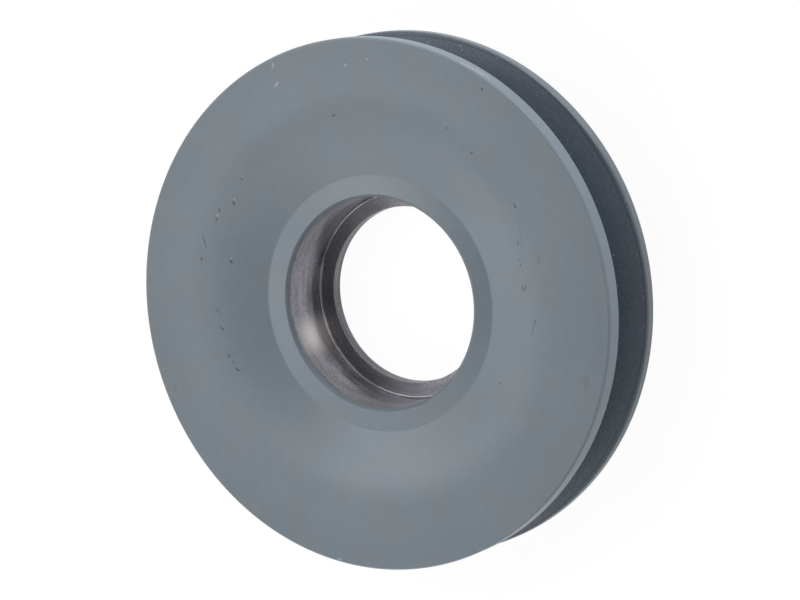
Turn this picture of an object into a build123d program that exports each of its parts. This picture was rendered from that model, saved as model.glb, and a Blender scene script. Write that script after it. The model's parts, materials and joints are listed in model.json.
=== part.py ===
"""Wire rope sheave: one turned steel disc with a rope groove round its rim.

The wheel lies on its flat back with its axis along +Z, so the front face, with the dish and
the mouth of the bearing seat, looks up. The origin is on the axis, half way between the two
rim faces. All sizes are in millimetres and degrees.
"""
from build123d import *
from math import cos, isclose, radians, sin, tan
import os

# Rim
outer_diameter = 200.0
front_lip_width = 7.7  # front rim face to the mouth of the rope groove
back_lip_width = 4.7  # back rim face to the mouth of the rope groove
rim_corner_chamfer = 0.5  # outer corner of each lip
groove_mouth_bevel = 0.6  # height and width of the bevel on the inner corner of each lip

# Rope groove
rope_diameter = 12.0
rope_side_clearance = 0.5  # room between the rope and the round bottom
groove_angle = 45.0  # between the two flanks

# Bearing seat and hub
bearing_diameter = 80.0
bearing_width = 23.0
bearing_setback = 0.5  # the seated bearing lies this far below the hub face
seat_lead_in = 1.0  # chamfer at the mouth of the seat
relief_width = 0.6  # relief groove turned in the shoulder, right beside the seat wall
relief_depth = 0.4
shoulder_height = 6.25  # how far the shoulder stands in from the seat wall
shoulder_thickness = 5.5
shoulder_back_chamfer = 0.5
hub_ring_width = 8.5  # flat ring round the seat, from the seat wall outwards

# Dished front face
hub_recess = 7.0  # hub ring below the front rim face
rim_land_width = 19.7  # flat front of the rim, from the outside inwards
dish_foot_angle = 18.0  # slope of the dish where it meets the hub ring

# Worked out from the sizes above
outer_radius = outer_diameter / 2
seat_radius = bearing_diameter / 2
seat_depth = bearing_width + bearing_setback
shoulder_radius = seat_radius - shoulder_height
hub_ring_radius = seat_radius + hub_ring_width
land_radius = outer_radius - rim_land_width
rim_width = hub_recess + seat_depth + shoulder_thickness

front_z = rim_width / 2
back_z = -rim_width / 2
hub_z = front_z - hub_recess
shoulder_z = hub_z - seat_depth

groove_radius = rope_diameter / 2 + rope_side_clearance
half_angle = radians(groove_angle / 2)
mouth_front_z = front_z - front_lip_width
mouth_back_z = back_z + back_lip_width
rope_plane_z = (mouth_front_z + mouth_back_z) / 2
half_mouth = (mouth_front_z - mouth_back_z) / 2
tangent_half_width = groove_radius * cos(half_angle)
flank_height = (half_mouth - tangent_half_width) / tan(half_angle)
bevel_radius = outer_radius - groove_mouth_bevel
bevel_half_width = half_mouth - groove_mouth_bevel * tan(half_angle)
tangent_radius = outer_radius - flank_height
groove_bottom_radius = tangent_radius - groove_radius * (1 - sin(half_angle))


def disc_section():
    """Half section of the disc before the rope groove is cut, as (radius, height)."""
    foot_slope = radians(dish_foot_angle)
    with BuildSketch(Plane.XZ) as section:
        with BuildLine():
            dish = Spline(
                (land_radius, front_z),
                (hub_ring_radius, hub_z),
                tangents=[(-1, 0), (-cos(foot_slope), -sin(foot_slope))],
            )
            Polyline(
                dish @ 1,
                (seat_radius, hub_z),
                (seat_radius, shoulder_z),
                (seat_radius - relief_width / 2, shoulder_z - relief_depth),
                (seat_radius - relief_width, shoulder_z),
                (shoulder_radius, shoulder_z),
                (shoulder_radius, back_z),
                (outer_radius, back_z),
                (outer_radius, front_z),
                dish @ 0,
            )
        make_face()
    return section.sketch


def groove_section():
    """Half section of the rope groove: bevelled mouth and two flanks tangent to a round bottom."""
    with BuildSketch(Plane.XZ) as section:
        with BuildLine():
            front_flank = Polyline(
                (outer_radius, mouth_front_z + groove_mouth_bevel),
                (bevel_radius, rope_plane_z + bevel_half_width),
                (tangent_radius, rope_plane_z + tangent_half_width),
            )
            back_flank = Polyline(
                (tangent_radius, rope_plane_z - tangent_half_width),
                (bevel_radius, rope_plane_z - bevel_half_width),
                (outer_radius, mouth_back_z - groove_mouth_bevel),
            )
            ThreePointArc(
                front_flank @ 1,
                (groove_bottom_radius, rope_plane_z),
                back_flank @ 0,
            )
            Line(back_flank @ 1, front_flank @ 0)
        make_face()
    return section.sketch


def circles_of_radius(part, radius):
    """The round edges of one radius, from the lowest to the highest."""
    rings = part.edges().filter_by(GeomType.CIRCLE)
    return rings.filter_by(lambda ring: isclose(ring.radius, radius, abs_tol=1e-4)).sort_by(Axis.Z)


with BuildPart() as sheave:
    add(disc_section())
    revolve(axis=Axis.Z)
    add(groove_section())
    revolve(axis=Axis.Z, mode=Mode.SUBTRACT)

    lip_corners = circles_of_radius(sheave, outer_radius)
    chamfer([lip_corners[0], lip_corners[-1]], length=rim_corner_chamfer)

    seat_mouth = circles_of_radius(sheave, seat_radius)[-1]
    chamfer(seat_mouth, length=seat_lead_in)
    shoulder_back = circles_of_radius(sheave, shoulder_radius)[0]
    chamfer(shoulder_back, length=shoulder_back_chamfer)

sheave.part.label = "sheave"

os.makedirs("parts", exist_ok=True)
export_step(sheave.part, "parts/sheave.step")
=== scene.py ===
"""Looks of the wire rope sheave: one turned steel disc, sprayed blue-grey, with a bare bearing seat.

The disc lies on its flat back, so +Z is its axis and the dished front looks up. Sizes in this
script are millimetres and degrees unless a name says otherwise; MM turns them into metres.
"""
import json
from math import cos, hypot, pi, radians, sin, tan

import bpy
from mathutils import Euler, Matrix, Vector


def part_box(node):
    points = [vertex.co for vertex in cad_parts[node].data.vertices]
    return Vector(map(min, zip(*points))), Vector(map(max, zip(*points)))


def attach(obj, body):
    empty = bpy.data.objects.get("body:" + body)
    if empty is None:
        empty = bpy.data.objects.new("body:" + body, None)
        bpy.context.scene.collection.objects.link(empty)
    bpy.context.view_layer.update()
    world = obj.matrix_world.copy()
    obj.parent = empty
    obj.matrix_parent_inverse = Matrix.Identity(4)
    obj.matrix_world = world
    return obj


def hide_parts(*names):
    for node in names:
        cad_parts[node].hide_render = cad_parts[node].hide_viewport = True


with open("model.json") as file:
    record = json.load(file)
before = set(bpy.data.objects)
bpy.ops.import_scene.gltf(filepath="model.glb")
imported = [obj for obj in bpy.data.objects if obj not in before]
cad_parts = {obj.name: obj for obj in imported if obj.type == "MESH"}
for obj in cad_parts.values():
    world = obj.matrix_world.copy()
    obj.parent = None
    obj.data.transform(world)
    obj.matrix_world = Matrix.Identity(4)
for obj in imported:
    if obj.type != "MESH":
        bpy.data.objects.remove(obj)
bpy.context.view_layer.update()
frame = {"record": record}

MM = 0.001

# ---------------------------------------------------------------- sizes taken from the frame
mounts = {mount["name"]: mount for mount in frame["record"]["mounts"]}


def mount_height(name):
    """Height of a mount above the middle of the disc."""
    return mounts[name]["pos_m"][2] / MM


low_corner, high_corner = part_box("sheave")
outer_radius = high_corner.x / MM
front_z = high_corner.z / MM
back_z = low_corner.z / MM
hub_z = mount_height("hub_face")
shoulder_z = mount_height("bearing_shoulder")
seat_radius = mounts["bearing_seat"]["dims"]["r_mm"]
seat_top_z = mount_height("bearing_seat") + mounts["bearing_seat"]["dims"]["length_mm"] / 2
bore_radius = mounts["shoulder_bore"]["dims"]["r_mm"]
bore_chamfer = mount_height("shoulder_bore") - mounts["shoulder_bore"]["dims"]["length_mm"] / 2 - back_z
seat_lead_in = hub_z - seat_top_z
rope_plane_z = mount_height("rope_groove")
groove_bottom_radius = mounts["rope_groove"]["pos_m"][0] / MM

# ---------------------------------------------------------------- sizes of the section
land_radius = 80.3  # where the flat front of the rim ends and the dish begins
hub_ring_radius = 48.5
dish_foot_angle = 18.0
dish_pull = 0.383  # length of the dish curve's handles, as a share of its chord
lip_chamfer = 0.5
groove_radius = 6.5
flank_angle = 22.5  # lean of each groove flank from square
front_mouth_z = 10.3
back_mouth_z = -13.3
mouth_bevel = 0.6
relief_width = 0.6
relief_depth = 0.4

turn_segments = 480
corner_steps = 4
dish_steps = 26
groove_steps = 22
most_cut = 0.42  # a rounding takes no more than this share of either side of its corner
ring_hold = 0.2  # how close a ring lies beside a rounded corner


# ---------------------------------------------------------------- half section
def bezier(a, b, c, d, steps):
    """Points of a cubic curve, both ends included."""
    points = []
    for i in range(steps + 1):
        t = i / steps
        s = 1 - t
        weights = (s ** 3, 3 * s * s * t, 3 * s * t * t, t ** 3)
        points.append(tuple(sum(w * p[k] for w, p in zip(weights, (a, b, c, d))) for k in (0, 1)))
    return points


def dish_curve():
    """The dish from the flat front of the rim down to the hub ring."""
    start, end = (land_radius, front_z), (hub_ring_radius, hub_z)
    pull = dish_pull * hypot(start[0] - end[0], start[1] - end[1])
    foot = radians(dish_foot_angle)
    return bezier(start, (start[0] - pull, start[1]),
                  (end[0] + pull * cos(foot), end[1] + pull * sin(foot)), end, dish_steps)


def groove_arc():
    """The round bottom of the rope groove, from the back flank to the front flank."""
    centre_radius = groove_bottom_radius + groove_radius
    sweep = 90 - flank_angle
    points = []
    for i in range(groove_steps + 1):
        a = radians(-sweep + 2 * sweep * i / groove_steps)
        points.append((centre_radius - groove_radius * cos(a), rope_plane_z + groove_radius * sin(a)))
    return points


def section_corners():
    """Closed half section as (radius, height, rounding, longest step to the next corner)."""
    lean = tan(radians(flank_angle))
    bevel_radius = outer_radius - mouth_bevel
    corners = [(r, z, 0, 9) for r, z in dish_curve()[:-1]]
    corners += [
        (hub_ring_radius, hub_z, 0.5, 2.5),
        (seat_radius + seat_lead_in, hub_z, 0.22, 1),
        (seat_radius, seat_top_z, 0.15, 3),
        (seat_radius, shoulder_z, 0.06, 1),
        (seat_radius - relief_width / 2, shoulder_z - relief_depth, 0.05, 1),
        (seat_radius - relief_width, shoulder_z, 0.08, 2),
        (bore_radius, shoulder_z, 0.15, 1.7),
        (bore_radius, back_z + bore_chamfer, 0.12, 1),
        (bore_radius + bore_chamfer, back_z, 0.12, 6),
        (outer_radius - lip_chamfer, back_z, 0.3, 1),
        (outer_radius, back_z + lip_chamfer, 0.3, 1.8),
        (outer_radius, back_mouth_z - mouth_bevel, 0.12, 1),
        (bevel_radius, back_mouth_z + mouth_bevel * lean, 0.1, 2.6),
    ]
    corners += [(r, z, 0, 9) for r, z in groove_arc()[:-1]]
    corners += [
        (groove_arc()[-1][0], groove_arc()[-1][1], 0, 2.6),
        (bevel_radius, front_mouth_z - mouth_bevel * lean, 0.12, 1),
        (outer_radius, front_mouth_z + mouth_bevel, 0.12, 1.8),
        (outer_radius, front_z - lip_chamfer, 0.3, 1),
        (outer_radius - lip_chamfer, front_z, 0.3, 3.3),
    ]
    return corners


def rounded_section(corners):
    """Half section as Vectors (radius, 0, height), with rounded corners held by a ring each side."""
    count = len(corners)
    points = []
    for i, (r, z, rounding, _step) in enumerate(corners):
        here = Vector((r, 0, z))
        before = Vector((corners[i - 1][0], 0, corners[i - 1][1]))
        after_corner = corners[(i + 1) % count]
        after = Vector((after_corner[0], 0, after_corner[1]))
        to_before = before - here
        to_after = after - here
        if rounding == 0:
            points.append(here)
        else:
            cut = min(rounding, most_cut * to_before.length, most_cut * to_after.length)
            first = here + to_before.normalized() * cut
            last = here + to_after.normalized() * cut
            for k in range(corner_steps + 1):
                t = k / corner_steps
                points.append(first * (1 - t) ** 2 + here * 2 * t * (1 - t) + last * t * t)
        fill_straight(points, corners[i], after_corner)
    return points


def fill_straight(points, corner, after_corner):
    """Adds the rings between two corners: one close to each rounded corner, the rest even."""
    longest = corner[3]
    start = points[-1]
    after = Vector((after_corner[0], 0, after_corner[1]))
    along = after - start
    reach = along.length - min(after_corner[2], most_cut * along.length)
    if reach < 4 * ring_hold:
        return
    along.normalize()
    stops = [ring_hold] if corner[2] else []
    pieces = int(reach // longest) + 1
    stops += [reach * k / pieces for k in range(1, pieces)]
    if after_corner[2]:
        stops.append(reach - ring_hold)
    points.extend(start + along * s for s in stops)


def section_mesh():
    """Closed loop of the half section, in metres."""
    points = rounded_section(section_corners())
    count = len(points)
    mesh = bpy.data.meshes.new("half_section")
    mesh.from_pydata([p * MM for p in points], [(i, (i + 1) % count) for i in range(count)], [])
    return mesh


# ---------------------------------------------------------------- node helpers
class Graph:
    """Short hand for building a node tree: make(), feed() and plain arithmetic."""

    def __init__(self, tree):
        self.tree = tree

    def make(self, kind, inputs=None, **settings):
        """A new node with its settings, and with inputs set or linked by name or number."""
        node = self.tree.nodes.new(kind)
        for name, value in settings.items():
            setattr(node, name, value)
        for key, value in (inputs or {}).items():
            self.feed(node.inputs[key], value)
        return node

    def feed(self, socket, value):
        """Links a socket or a node's first output to the input, or sets a plain value."""
        if isinstance(value, bpy.types.Node):
            value = value.outputs[0]
        if isinstance(value, bpy.types.NodeSocket):
            self.tree.links.new(value, socket)
        else:
            socket.default_value = value

    def math(self, operation, *values):
        """A Math node, given its operation and inputs."""
        return self.make("ShaderNodeMath", dict(enumerate(values)), operation=operation)

    def product(self, first, *factors):
        """All values multiplied together."""
        for factor in factors:
            first = self.math("MULTIPLY", first, factor)
        return first

    def vector(self, operation, *values):
        """A Vector Math node, given its operation and inputs."""
        return self.make("ShaderNodeVectorMath", dict(enumerate(values)), operation=operation)

    def ramp(self, value, low, high, at_low, at_high, smooth=True):
        """Maps a value from one range to another, held at both ends."""
        kind = "SMOOTHSTEP" if smooth else "LINEAR"
        return self.make("ShaderNodeMapRange", {0: value, 1: low, 2: high, 3: at_low, 4: at_high},
                         interpolation_type=kind)

    def noise(self, place, scale, detail):
        """Plain noise between 0 and 1."""
        return self.make("ShaderNodeTexNoise", {"Vector": place, "Scale": scale, "Detail": detail})

    def mix_value(self, share, a, b):
        """A plain value between a and b."""
        return self.make("ShaderNodeMix", {0: share, 2: a, 3: b}, data_type="FLOAT")

    def blend(self, share, a, b, how="MIX"):
        """A colour between a and b."""
        node = self.make("ShaderNodeMix", {0: share, 6: a, 7: b}, data_type="RGBA", blend_type=how)
        return node.outputs[2]

    def shade(self, colour, factor):
        """A colour made lighter or darker by a factor."""
        return self.blend(1.0, colour, factor, "MULTIPLY")

    def bump(self, height):
        """A normal from a height in metres."""
        return self.make("ShaderNodeBump", {"Strength": 1.0, "Distance": 1.0, "Height": height})

    def turn_about_axis(self, place, angle):
        """A place turned about Z, with the angle in radians."""
        return self.make("ShaderNodeVectorRotate", {"Vector": place, "Angle": angle},
                         rotation_type="Z_AXIS")


seam_gap = 0.002  # points nearer than this are one, which closes the body
paint_edge = 0.02  # the paint begins this far outside the seat wall


def revolve_tree():
    """Geometry nodes: turns a closed half section about Z into a closed body."""
    tree = bpy.data.node_groups.new("turned body", "GeometryNodeTree")
    sockets = tree.interface
    sockets.new_socket("Half Section", in_out="INPUT", socket_type="NodeSocketGeometry")
    sockets.new_socket("Segments", in_out="INPUT", socket_type="NodeSocketInt")
    sockets.new_socket("Bare Radius", in_out="INPUT", socket_type="NodeSocketFloat")
    sockets.new_socket("Paint", in_out="INPUT", socket_type="NodeSocketMaterial")
    sockets.new_socket("Bare Steel", in_out="INPUT", socket_type="NodeSocketMaterial")
    sockets.new_socket("Body", in_out="OUTPUT", socket_type="NodeSocketGeometry")
    g = Graph(tree)
    given = g.make("NodeGroupInput")
    size = g.make("GeometryNodeAttributeDomainSize", {"Geometry": given.outputs["Half Section"]},
                  component="MESH")
    ring_points = size.outputs["Point Count"]
    rows = g.math("ADD", given.outputs["Segments"], 1)
    grid = g.make("GeometryNodeMeshGrid",
                  {"Vertices X": rows, "Vertices Y": g.math("ADD", ring_points, 1)})
    columns = g.math("ADD", ring_points, 1)
    index = g.make("GeometryNodeInputIndex")
    ring = g.math("FLOOR", g.math("DIVIDE", g.math("ADD", index, 0.5), columns))
    on_section = g.math("SUBTRACT", index, g.math("MULTIPLY", ring, columns))
    wrapped = g.math("MODULO", on_section, ring_points)
    section_point = g.make("GeometryNodeSampleIndex",
                           {"Geometry": given.outputs["Half Section"],
                            "Value": g.make("GeometryNodeInputPosition"),
                            "Index": wrapped},
                           data_type="FLOAT_VECTOR", domain="POINT")
    turn = g.math("MULTIPLY", ring, g.math("DIVIDE", 2 * pi, given.outputs["Segments"]))
    place = g.make("ShaderNodeVectorRotate", {"Vector": section_point, "Angle": turn},
                   rotation_type="Z_AXIS")
    turned = g.make("GeometryNodeSetPosition", {"Geometry": grid.outputs["Mesh"], "Position": place})
    closed = g.make("GeometryNodeMergeByDistance", {"Geometry": turned, "Distance": seam_gap * MM})
    smooth = g.make("GeometryNodeSetShadeSmooth", {"Geometry": closed})
    painted = g.make("GeometryNodeSetMaterial",
                     {"Geometry": smooth, "Material": given.outputs["Paint"]})
    where = g.make("ShaderNodeSeparateXYZ", {0: g.make("GeometryNodeInputPosition")})
    radius = g.math("SQRT", g.math("ADD", g.math("MULTIPLY", where.outputs[0], where.outputs[0]),
                                   g.math("MULTIPLY", where.outputs[1], where.outputs[1])))
    inside = g.math("LESS_THAN", radius, given.outputs["Bare Radius"])
    bare = g.make("GeometryNodeSetMaterial",
                  {"Geometry": painted, "Selection": inside, "Material": given.outputs["Bare Steel"]})
    real = g.make("GeometryNodeRealizeInstances", {"Geometry": bare})
    g.make("NodeGroupOutput", {"Body": real})
    return tree


def turned_body(name, section, paint, steel):
    """The closed body turned from the half section, as a plain mesh object."""
    source = bpy.data.objects.new(name, section)
    bpy.context.scene.collection.objects.link(source)
    tree = revolve_tree()
    modifier = source.modifiers.new("turned body", "NODES")
    modifier.node_group = tree
    values = {"Segments": turn_segments, "Bare Radius": (seat_radius + paint_edge) * MM,
              "Paint": paint, "Bare Steel": steel}
    for item in tree.interface.items_tree:
        if item.name in values:
            modifier[item.identifier] = values[item.name]
    evaluated = source.evaluated_get(bpy.context.evaluated_depsgraph_get())
    mesh = bpy.data.meshes.new_from_object(evaluated)
    mesh.name = name
    source.modifiers.remove(modifier)
    source.data = mesh
    return source


# ---------------------------------------------------------------- colours
paint_colour = (0.179, 0.214, 0.243, 1)
cool_paint_colour = (0.172, 0.214, 0.256, 1)
# cooler colour of the rope groove, part of its painted shade
groove_shade_colour = (0.160, 0.207, 0.262, 1)
smudge_colour = (0.46, 0.42, 0.42, 1)
# dark of the nicks and dust specks, also the painted shade in small pits
nick_dust_and_pit_shade_colour = (0.045, 0.045, 0.062, 1)
# pale of the chips and grit, also the painted highlights on the rims of small pits
chip_grit_and_glint_colour = (0.50, 0.48, 0.46, 1)
steel_colour = (0.205, 0.203, 0.226, 1)
# painted highlight on the seat wall
seat_highlight_colour = (1.0, 0.93, 0.90, 1)
# bare steel of the worn lip streaks, also the painted highlight beside the relief groove
worn_steel_and_highlight_colour = (0.72, 0.68, 0.66, 1)
# dark steel of the greasy bore and of the shoulder's darker side
dark_steel_colour = (0.058, 0.056, 0.062, 1)
rust_colour = (0.34, 0.26, 0.20, 1)

# how strongly each kind of wear covers the paint; the nicks and chips also carry the painted shade and
# painted highlights of small pits
smudge_strength = 0.22
dust_strength = 0.35
nick_and_pit_shade_strength = 0.80
chip_and_glint_strength = 0.55
grit_strength = 0.75

# how light the paint is by region, where the dished face is 1; the lip tones are painted light and the
# groove tones painted shade
rim_edge_tone = 0.92
front_lip_painted_light = 1.72
back_lip_painted_light = 1.5
groove_shade_tones = (0.56, 0.84)
dark_line_tone = 0.55

# noise, as features for each millimetre
drift_scale = 0.022
hue_scale = 0.05
mottle_scale = 0.33
groove_grain_scale = 1.3
peel_scale = 0.55
ragged_scale = 1.4
broken_scale = 0.9
steel_grain_scale = 1.7
spray_scale = 0.5

ragged_reach = 1.3  # how far the noise pushes the outlines of the marks
peel_height = 0.010  # orange peel in the paint
ring_lean = 11.0  # the hub ring shades as if it leaned outwards by this much
dark_line_waves = 6  # the dark line beside the back lip runs nearer to and farther from the edge this many times round the disc
dark_line_wave_start = 94.5
dark_line_wave_depths = (0.25, 1.0)
dark_side_azimuth = 88.0  # the side of the shoulder that is made darkest
seat_highlight_azimuth = 97.0  # where the painted highlight lies on the seat wall
cut_height = 0.012  # turning marks in the steel
shoulder_roughness_height = 0.05

# ---------------------------------------------------------------- wear
# marks on the dished face: radius, azimuth, lean off the turning direction, length, width
# dark nicks; where a pale chip sits beside one, its dark is partly the painted shade of a pit
nicks_and_pit_shade = [
    (72, -6, 10, 1.4, 0.9),
    (71.2, 33.6, 40, 1.5, 0.9),
    (69.2, 41.8, 35, 2.2, 0.9),
    (73.2, 46.2, 40, 1.8, 0.9),
    (73.0, 49.2, 30, 1.5, 0.7),
    (75.2, 57.0, 32, 6.0, 0.5),
    (75.0, 62.5, 32, 1.8, 0.8),
    (63.2, 61, 30, 1.7, 1.3),
    (68, 78, 35, 2.2, 0.8),
    (67.2, 84, 45, 2.4, 0.7),
    (67.4, 93.0, 8, 1.8, 0.6),
    (66.6, 95.4, 30, 1.2, 0.7),
    (66.0, 98.4, 40, 2.8, 0.9),
    (96, -48, 0, 1.4, 1.2),
    (76, -44, 80, 1.2, 0.7),
    (74, -54, 60, 1.6, 0.8),
    (74, -74, -18, 2.2, 0.9),
    (68, -84, -18, 1.9, 0.9),
    (66.2, -89, -18, 1.1, 0.7),
    (65.9, -90.6, -18, 1.3, 0.8),
    (64.6, -98, -18, 2.9, 0.75),
    (65.8, -98.2, -18, 3.0, 0.75),
    (69.2, -108.4, -14, 1.8, 0.8),
    (68.4, -110.8, -14, 6.4, 0.45),
    (59, -133, 0, 1.3, 0.9),
]
# chips, and pale spots beside nicks that are painted highlights on the rims of pits
chips_and_pit_glints = [
    (97, 7, 60, 2.6, 1.3),
    (90, 8, 25, 2.4, 1.3),
    (90, -12, 0, 1.7, 1.0),
    (92, -18, 60, 1.0, 0.7),
    (99, 154, 0, 2.2, 0.9),
    (71.6, 32.5, 0, 1.0, 0.8),
    (69.6, 40.6, 0, 1.0, 0.8),
    (73.0, 47.8, 0, 1.1, 0.8),
    (63.4, 60.0, 0, 0.9, 0.7),
]
smudges = [
    (93, -121, 10, 7.0, 3.0),
    (95, 96, 0, 3.0, 1.8),
    (74.5, -90.5, -18, 4.0, 2.2),
    (70.5, -82.0, -18, 15.0, 0.9),
]
# worn streaks on the front lip: height, azimuth, lean, length, width
lip_streaks = [
    (15.9, -43.6, 2, 12.0, 0.75),
    (14.7, -45.6, 3, 9.0, 0.6),
    (17.0, -42.0, 2, 8.0, 0.6),
]


# ---------------------------------------------------------------- shared shader groups
def principled(name):
    """A new material, its graph and its shader."""
    material = bpy.data.materials.new(name)
    material.use_nodes = True
    return material, Graph(material.node_tree), material.node_tree.nodes["Principled BSDF"]


def new_group(name, inputs, outputs):
    """An empty shader node group; sockets are given as name: kind."""
    tree = bpy.data.node_groups.new(name, "ShaderNodeTree")
    for direction, sockets in (("INPUT", inputs), ("OUTPUT", outputs)):
        for label, kind in sockets.items():
            tree.interface.new_socket(label, in_out=direction, socket_type="NodeSocket" + kind)
    g = Graph(tree)
    return g, g.make("NodeGroupInput").outputs, g.make("NodeGroupOutput").inputs


def place_group():
    """Where a point lies on the disc: place in millimetres, radius, height and azimuth in degrees."""
    g, _given, out = new_group("disc place", {},
                               {"Place": "Vector", "Radius": "Float", "Height": "Float", "Azimuth": "Float"})
    metres = g.make("ShaderNodeTexCoord").outputs["Object"]
    place = g.vector("MULTIPLY", metres, (1 / MM, 1 / MM, 1 / MM))
    x, y, z = g.make("ShaderNodeSeparateXYZ", {0: place}).outputs
    flat = g.make("ShaderNodeCombineXYZ", {0: x, 1: y})
    g.feed(out["Place"], place)
    g.feed(out["Radius"], g.vector("LENGTH", flat).outputs["Value"])
    g.feed(out["Height"], z)
    g.feed(out["Azimuth"], g.math("MULTIPLY", g.math("ARCTAN2", y, x), 180 / pi))
    return g.tree


def mark_group():
    """Mask of one long mark; Turn brings its centre to the X axis, Out and Along place it there."""
    g, given, out = new_group("mark", {"Place": "Vector", "Turn": "Float", "Out": "Float", "Along": "Float",
                                       "Lean": "Float", "Length": "Float", "Width": "Float"},
                              {"Mask": "Float"})
    turned = g.turn_about_axis(given["Place"], g.math("MULTIPLY", given["Turn"], -pi / 180))
    centre = g.make("ShaderNodeCombineXYZ", {0: given["Out"], 1: given["Along"]})
    moved = g.vector("SUBTRACT", turned, centre)
    straight = g.turn_about_axis(moved, g.math("MULTIPLY", given["Lean"], -pi / 180))
    shares = g.make("ShaderNodeCombineXYZ", {0: g.math("DIVIDE", 2.0, given["Width"]),
                                             1: g.math("DIVIDE", 2.0, given["Length"])})
    away = g.vector("LENGTH", g.vector("MULTIPLY", straight, shares)).outputs["Value"]
    g.feed(out["Mask"], g.ramp(away, 1.2, 0.5, 0.0, 1.0))
    return g.tree


def speck_group():
    """Mask of sparse round specks: Spacing and Size in millimetres, Share is how many cells have one."""
    g, given, out = new_group("specks", {"Place": "Vector", "Spacing": "Float", "Size": "Float",
                                         "Share": "Float"}, {"Mask": "Float"})
    cells = g.make("ShaderNodeTexVoronoi", {"Vector": given["Place"],
                                            "Scale": g.math("DIVIDE", 1.0, given["Spacing"])})
    away = g.math("MULTIPLY", cells.outputs["Distance"], given["Spacing"])
    pick = g.make("ShaderNodeSeparateColor", {0: cells.outputs["Color"]})
    chosen = g.math("LESS_THAN", pick.outputs[0], given["Share"])
    size = g.math("MULTIPLY", given["Size"], g.ramp(pick.outputs[1], 0.0, 1.0, 0.5, 1.0))
    near = g.ramp(g.math("DIVIDE", away, size), 1.0, 0.5, 0.0, 1.0)
    g.feed(out["Mask"], g.math("MULTIPLY", near, chosen))
    return g.tree


def groove_group():
    """Mask of the rope groove, and of a wavy dark line beside the back lip."""
    g, given, out = new_group("groove", {"Radius": "Float", "Height": "Float", "Azimuth": "Float"},
                              {"In Groove": "Float", "Tool Line": "Float"})
    inside = g.product(g.math("LESS_THAN", given["Height"], front_mouth_z + mouth_bevel / 2),
                       g.math("GREATER_THAN", given["Height"], back_mouth_z - mouth_bevel / 2),
                       g.math("GREATER_THAN", given["Radius"], land_radius))
    turn = g.math("ADD", g.math("MULTIPLY", given["Azimuth"], radians(dark_line_waves)), radians(dark_line_wave_start))
    wave = g.ramp(g.math("COSINE", turn), -1.0, 1.0, *dark_line_wave_depths, smooth=False)
    from_edge = g.math("SUBTRACT", outer_radius - mouth_bevel, given["Radius"])
    off_line = g.math("ABSOLUTE", g.math("SUBTRACT", from_edge, wave))
    line = g.ramp(off_line, 0.34, 0.08, 0.0, 1.0)
    back_half = g.math("LESS_THAN", given["Height"], rope_plane_z)
    g.feed(out["In Groove"], inside)
    g.feed(out["Tool Line"], g.product(line, inside, back_half))
    return g.tree


groups = {"place": place_group(), "mark": mark_group(), "specks": speck_group(), "groove": groove_group()}


def use_group(g, name, inputs=None):
    """A node that uses one of the shared groups."""
    node = g.make("ShaderNodeGroup", node_tree=groups[name])
    for key, value in (inputs or {}).items():
        g.feed(node.inputs[key], value)
    return node


def all_marks(g, place, marks, on_lip=False):
    """The masks of a list of marks, joined into one."""
    joined = None
    for out, azimuth, lean, length, width in marks:
        turn, along = (0.0, radians(azimuth) * outer_radius) if on_lip else (float(azimuth), 0.0)
        mask = use_group(g, "mark", {"Place": place, "Turn": turn, "Out": float(out), "Along": along,
                                     "Lean": float(lean), "Length": length, "Width": width})
        joined = mask if joined is None else g.math("MAXIMUM", joined, mask)
    return joined


# ---------------------------------------------------------------- paint
def lip_masks(g, radius, height):
    """Masks of the front lip and of the back lip."""
    on_lip = g.ramp(radius, outer_radius - 0.6, outer_radius - 0.35, 0.0, 1.0)
    front = g.product(on_lip, g.math("GREATER_THAN", height, 0.0))
    back = g.product(on_lip, g.math("LESS_THAN", height, 0.0))
    return front, back


def paint_tone(g, where, on_front_lip, on_back_lip, groove, mottle):
    """How light the paint is: a slow drift, a mottle, darker towards the rim edge, paler lips from painted
    light and a darker groove from painted shade.
    """
    place = where.outputs["Place"]
    # painted shade in the groove, broken up by grain
    groove_shade_tone = g.ramp(g.noise(place, groove_grain_scale, 2.0), 0.3, 0.7, *groove_shade_tones)
    return g.product(
        g.ramp(g.noise(place, drift_scale, 2.0), 0.3, 0.7, 0.965, 1.035),
        g.ramp(mottle, 0.2, 0.8, 0.97, 1.03),
        g.ramp(where.outputs["Radius"], land_radius, outer_radius - 1, 1.0, rim_edge_tone),
        # painted light: the lips paler
        g.ramp(on_front_lip, 0, 1, 1.0, front_lip_painted_light),
        g.ramp(on_back_lip, 0, 1, 1.0, back_lip_painted_light),
        # painted shade: the groove darker
        g.mix_value(groove.outputs["In Groove"], 1.0, groove_shade_tone),
        g.ramp(groove.outputs["Tool Line"], 0, 1, 1.0, dark_line_tone))


def clean_paint(g, where, on_front_lip, in_groove):
    """The paint's hue before wear: it wanders between two blues, is cooler on the front lip, and in the
    groove takes the cooler colour of the groove's painted shade.
    """
    shifted = g.vector("ADD", where.outputs["Place"], (40, 10, 0))
    hue = g.ramp(g.noise(shifted, hue_scale, 2.0), 0.35, 0.65, 0.0, 1.0)
    colour = g.blend(hue, paint_colour, cool_paint_colour)
    colour = g.blend(on_front_lip, colour, cool_paint_colour)
    return g.blend(in_groove, colour, groove_shade_colour)


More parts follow.
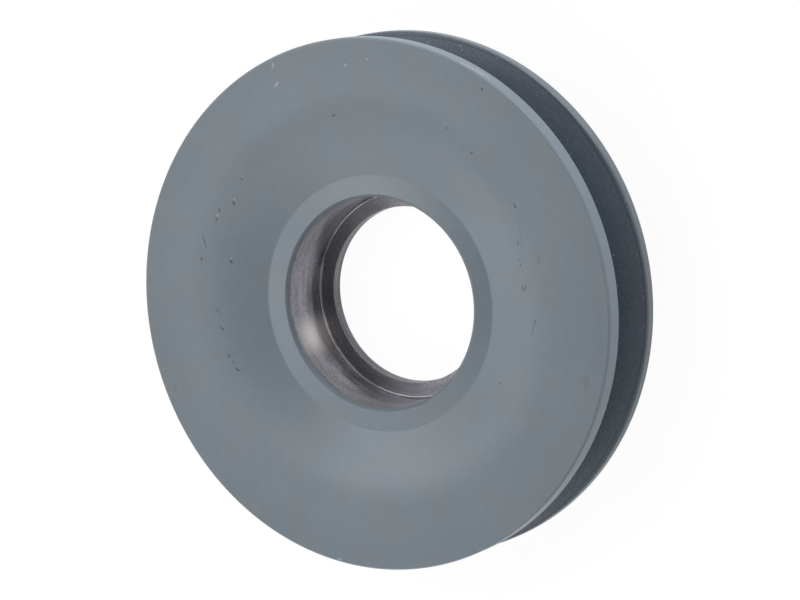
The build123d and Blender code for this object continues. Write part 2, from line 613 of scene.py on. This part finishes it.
def face_wear(g, where, colour):
    """Adds the smudges, dust, nicks and chips of the dished face; at small pits the dark nicks are partly
    painted shade and the pale chips beside them painted highlights.
    """
    place = where.outputs["Place"]
    shake = g.make("ShaderNodeTexNoise", {"Vector": place, "Scale": ragged_scale, "Detail": 2.0})
    centred = g.vector("SUBTRACT", shake.outputs["Color"], (0.5, 0.5, 0.5))
    ragged = g.vector("ADD", place, g.vector("MULTIPLY", centred, (ragged_reach, ragged_reach, 0)))
    on_front = g.math("GREATER_THAN", where.outputs["Height"], hub_z - 0.1)
    smudge = g.product(all_marks(g, ragged, smudges), on_front, smudge_strength)
    # nicks partly painted shade in pits, chips partly painted highlights on their rims
    nick_and_pit_shade_mask = g.product(all_marks(g, ragged, nicks_and_pit_shade), on_front, nick_and_pit_shade_strength)
    chip_and_glint_mask = g.product(all_marks(g, ragged, chips_and_pit_glints), on_front, chip_and_glint_strength)
    dust = use_group(g, "specks", {"Place": place, "Spacing": 9.0, "Size": 0.45, "Share": 0.3})
    colour = g.blend(smudge, colour, smudge_colour, "MULTIPLY")
    colour = g.blend(g.product(dust, dust_strength), colour, nick_dust_and_pit_shade_colour)
    colour = g.blend(nick_and_pit_shade_mask, colour, nick_dust_and_pit_shade_colour)
    return g.blend(chip_and_glint_mask, colour, chip_grit_and_glint_colour)


def rim_wear(g, where, colour, on_front_lip, in_groove):
    """Adds the pale grit in the groove and the worn streaks on the front lip."""
    place = where.outputs["Place"]
    grit = use_group(g, "specks", {"Place": place, "Spacing": 2.2, "Size": 0.42, "Share": 0.4})
    around = g.math("MULTIPLY", where.outputs["Azimuth"], outer_radius * pi / 180)
    unrolled = g.make("ShaderNodeCombineXYZ", {0: where.outputs["Height"], 1: around})
    streak = g.product(all_marks(g, unrolled, lip_streaks, on_lip=True), on_front_lip)
    broken = g.ramp(g.noise(place, broken_scale, 2.0), 0.35, 0.55, 0.35, 1.0)
    colour = g.blend(g.product(grit, in_groove, grit_strength), colour, chip_grit_and_glint_colour)
    return g.blend(g.product(streak, broken), colour, worn_steel_and_highlight_colour)


def sprayed_paint():
    """Blue-grey sprayed paint with its nicks, chips and smudges, painted light on the lips and on the rims
    of small pits, and painted shade in the groove and in the pits.
    """
    material, g, shader = principled("blue_grey_paint")
    where = use_group(g, "place")
    place, radius, height, azimuth = where.outputs
    groove = use_group(g, "groove", {"Radius": radius, "Height": height, "Azimuth": azimuth})
    in_groove = groove.outputs["In Groove"]
    on_front_lip, on_back_lip = lip_masks(g, radius, height)
    mottle = g.noise(place, mottle_scale, 3.0)

    colour = clean_paint(g, where, on_front_lip, in_groove)
    colour = g.shade(colour, paint_tone(g, where, on_front_lip, on_back_lip, groove, mottle))
    colour = face_wear(g, where, colour)
    colour = rim_wear(g, where, colour, on_front_lip, in_groove)
    g.feed(shader.inputs["Base Color"], colour)
    g.feed(shader.inputs["Roughness"], g.ramp(mottle, 0.3, 0.7, 0.37, 0.42))

    held = g.math("MINIMUM", g.math("MAXIMUM", radius, seat_radius + seat_lead_in), hub_ring_radius)
    lean = g.math("MULTIPLY", held, -tan(radians(ring_lean)) * MM)
    peel = g.math("MULTIPLY", g.noise(place, peel_scale, 1.0), peel_height * MM)
    g.feed(shader.inputs["Normal"], g.bump(g.math("ADD", lean, peel)))
    return material


# ---------------------------------------------------------------- bare steel
def lathe_noise(g, where, round_scale, across_scale, detail):
    """Noise drawn out round the axis without a seam, as a lathe tool leaves it."""
    _place, radius, height, azimuth = where.outputs
    around = g.math("MULTIPLY", azimuth, pi / 180)
    travel = g.math("SUBTRACT", height, radius)
    drawn = g.make("ShaderNodeCombineXYZ", {0: g.math("MULTIPLY", g.math("COSINE", around), round_scale),
                                            1: g.math("MULTIPLY", g.math("SINE", around), round_scale),
                                            2: g.math("MULTIPLY", travel, across_scale)})
    return g.noise(drawn, 1.0, detail)


def shoulder_sides(g, where, colour, grain, on_shoulder):
    """The shoulder made darker towards one side, and with a brown bloom on the other."""
    aligned = g.turn_about_axis(where.outputs["Place"], radians(-dark_side_azimuth))
    side = g.make("ShaderNodeSeparateXYZ", {0: aligned}).outputs[0]
    darker_side = g.product(g.ramp(side, -10.0, 30.0, 0.10, 0.95), g.ramp(grain, 0.3, 0.6, 0.45, 1.0))
    rusty = g.product(g.ramp(side, 6.0, -24.0, 0.0, 0.55), g.ramp(grain, 0.35, 0.65, 0.3, 1.0))
    colour = g.blend(g.product(on_shoulder, darker_side), colour, dark_steel_colour)
    return g.blend(g.product(on_shoulder, rusty), colour, rust_colour)


def painted_seat_highlight(g, where, colour, on_wall):
    """Painted highlight: a bright stripe on the seat wall that grows with depth."""
    off_stripe = g.math("ABSOLUTE", g.math("SUBTRACT", where.outputs["Azimuth"], seat_highlight_azimuth))
    deeper = g.ramp(where.outputs["Height"], seat_top_z, shoulder_z + 1, 0.0, 1.0, smooth=False)
    seat_highlight_mask = g.product(g.ramp(off_stripe, 15.0, 1.0, 0.0, 1.0), deeper, on_wall)
    return g.blend(seat_highlight_mask, colour, seat_highlight_colour)


def painted_edge_highlight(g, radius, patches, on_shoulder):
    """Mask of the painted highlight: a thin bright line beside the relief groove."""
    off_line = g.math("ABSOLUTE", g.math("SUBTRACT", radius, seat_radius - relief_width - 0.15))
    return g.product(on_shoulder, g.ramp(off_line, 0.28, 0.08, 0.0, 1.0),
                     g.ramp(patches, 0.35, 0.6, 0.15, 0.9))


def overspray(g, place, height):
    """Mask of the paint that strayed over the mouth of the seat."""
    stray = g.ramp(g.noise(place, spray_scale, 3.0), 0.3, 0.7, -0.9, 0.9, smooth=False)
    return g.ramp(g.math("ADD", height, stray), seat_top_z - 1.6, seat_top_z + 0.2, 0.0, 0.9)


def turned_steel():
    """Bare turned steel of the bearing seat: fine rings, a shoulder darker on one side, painted light that
    makes the seat wall lighter with depth, a painted highlight stripe on the wall and along the relief
    groove, overspray at the mouth.
    """
    material, g, shader = principled("turned_steel")
    where = use_group(g, "place")
    place, radius, height, _azimuth = where.outputs
    rings = lathe_noise(g, where, 1.0, 2.6, 4.0)
    patches = lathe_noise(g, where, 3.0, 0.35, 3.0)
    grain = g.noise(place, steel_grain_scale, 3.0)
    on_wall = g.ramp(radius, seat_radius - 0.3, seat_radius - 0.05, 0.0, 1.0)
    in_bore = g.ramp(radius, bore_radius + 0.1, bore_radius, 0.0, 1.0)
    on_shoulder = g.product(g.ramp(radius, seat_radius - 0.1, seat_radius - 0.3, 0.0, 1.0),
                            g.math("GREATER_THAN", height, shoulder_z - 0.3))

    colour = g.shade(steel_colour, g.ramp(rings, 0.3, 0.7, 0.90, 1.10))
    colour = g.shade(colour, g.ramp(patches, 0.3, 0.7, 0.80, 1.20))
    colour = g.shade(colour, g.ramp(grain, 0.3, 0.7, 0.74, 1.30))
    # painted light: the seat wall made lighter the deeper it goes
    depth = g.ramp(height, seat_top_z - 2, shoulder_z + 1, 0.88, 2.1, smooth=False)
    colour = g.blend(on_wall, colour, g.shade(colour, depth))
    colour = shoulder_sides(g, where, colour, grain, on_shoulder)
    greasy = g.product(in_bore, g.ramp(rings, 0.35, 0.6, 0.75, 0.35))
    colour = g.blend(greasy, colour, dark_steel_colour)
    # painted highlight stripe on the seat wall
    colour = painted_seat_highlight(g, where, colour, on_wall)
    # painted highlight along the edge beside the relief groove
    colour = g.blend(painted_edge_highlight(g, radius, patches, on_shoulder), colour, worn_steel_and_highlight_colour)
    spray = overspray(g, place, height)
    colour = g.blend(spray, colour, cool_paint_colour)
    g.feed(shader.inputs["Base Color"], colour)

    dull = g.math("MAXIMUM", spray, g.math("MULTIPLY", on_shoulder, 0.35))
    rough = g.math("ADD", g.ramp(patches, 0.3, 0.7, 0.32, 0.42), g.math("MULTIPLY", dull, 0.2))
    g.feed(shader.inputs["Metallic"], g.ramp(dull, 0.0, 1.0, 1.0, 0.0))
    g.feed(shader.inputs["Roughness"], rough)
    cut = g.math("MULTIPLY", rings, cut_height * MM)
    bumpy = g.product(grain, on_shoulder, shoulder_roughness_height * MM)
    g.feed(shader.inputs["Normal"], g.bump(g.math("ADD", cut, bumpy)))
    return material


# ---------------------------------------------------------------- the disc
disc = turned_body("sheave_disc", section_mesh(), sprayed_paint(), turned_steel())
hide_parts("sheave")
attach(disc, "root")


# ---------------------------------------------------------------- floor and world
floor_half_side = 3.0  # metres
floor_glow = 0.95
pale_floor_colour = (0.8, 0.8, 0.8, 1)
faint_floor_colour = (0.09, 0.09, 0.09, 1)
ambient_level = 0.12


def sees_white(g):
    """1 for the rays that see the white background: camera, glossy and transmission rays."""
    seen = g.make("ShaderNodeLightPath").outputs
    return g.math("MAXIMUM", seen["Is Camera Ray"],
                  g.math("MAXIMUM", seen["Is Glossy Ray"], seen["Is Transmission Ray"]))


def white_floor():
    """Pale floor, white to the camera but for the disc's soft shadow."""
    material = bpy.data.materials.new("pale_floor")
    material.use_nodes = True
    g = Graph(material.node_tree)
    g.tree.nodes.clear()
    pale = g.make("ShaderNodeBsdfDiffuse", {"Color": pale_floor_colour})
    faint = g.make("ShaderNodeBsdfDiffuse", {"Color": faint_floor_colour})
    glow = g.make("ShaderNodeEmission", {"Color": (1, 1, 1, 1), "Strength": floor_glow})
    white = g.make("ShaderNodeAddShader", {0: faint, 1: glow})
    mixed = g.make("ShaderNodeMixShader", {0: sees_white(g), 1: pale, 2: white})
    g.make("ShaderNodeOutputMaterial", {"Surface": mixed})
    return material


def lay_floor(half_side):
    """A square floor under the disc's back face."""
    mesh = bpy.data.meshes.new("floor")
    corners = [(-1, -1), (1, -1), (1, 1), (-1, 1)]
    mesh.from_pydata([(x * half_side, y * half_side, back_z * MM) for x, y in corners], [], [(0, 1, 2, 3)])
    mesh.materials.append(white_floor())
    floor = bpy.data.objects.new("floor", mesh)
    bpy.context.scene.collection.objects.link(floor)


def light_world():
    """White to the camera and to gloss, and a plain soft level on the disc."""
    world = bpy.data.worlds.new("studio")
    bpy.context.scene.world = world
    world.use_nodes = True
    g = Graph(world.node_tree)
    g.tree.nodes.clear()
    level = g.math("ADD", ambient_level, g.math("MULTIPLY", sees_white(g), 1 - ambient_level))
    white = g.make("ShaderNodeBackground", {"Color": (1, 1, 1, 1), "Strength": level})
    g.make("ShaderNodeOutputWorld", {"Surface": white})


lay_floor(floor_half_side)
light_world()

# ---------------------------------------------------------------- lamps
# name: azimuth from +X, elevation, distance in metres, side in metres, watts
lamps = {
    "key": (45, 55, 1.6, 0.8, 9.4),
    "left fill": (90, 30, 1.6, 0.8, 3.8),
    "back fill": (135, 55, 1.6, 0.8, 3.5),
    "low back fill": (135, 30, 1.6, 0.8, 3.9),
    "low rim": (315, 5, 1.6, 0.8, 13.0),
}


def hang_lamp(name, azimuth, elevation, distance, side, watts):
    """A square soft lamp that looks at the disc."""
    light = bpy.data.lights.new(name, "AREA")
    light.shape = "SQUARE"
    light.size = side
    light.energy = watts
    lamp = bpy.data.objects.new(name, light)
    bpy.context.scene.collection.objects.link(lamp)
    across = radians(azimuth)
    rise = radians(elevation)
    direction = Vector((cos(rise) * cos(across), cos(rise) * sin(across), sin(rise)))
    lamp.location = direction * distance
    lamp.rotation_euler = direction.to_track_quat("Z", "Y").to_euler()


for lamp_name, lamp_values in lamps.items():
    hang_lamp(lamp_name, *lamp_values)

# ---------------------------------------------------------------- camera
camera_tilt = 31.2193  # between the line of sight and the disc's axis
camera_roll = -105.83
camera_distance = 1331.58
camera_aim = Vector((-0.92, -13.67, front_z))
camera_lens = 162.0


def place_camera():
    """A long lens that looks down on the disc, turned so that its axis lies across the picture."""
    data = bpy.data.cameras.new("camera")
    data.lens = camera_lens
    camera = bpy.data.objects.new("camera", data)
    bpy.context.scene.collection.objects.link(camera)
    turn = Euler((radians(camera_tilt), 0, 0)).to_matrix() @ Matrix.Rotation(radians(camera_roll), 3, "Z")
    camera.matrix_world = Matrix.Translation((camera_aim - turn @ Vector((0, 0, -camera_distance))) * MM) \
        @ turn.to_4x4()
    bpy.context.scene.camera = camera


place_camera()
bpy.context.scene.view_settings.view_transform = "Standard"
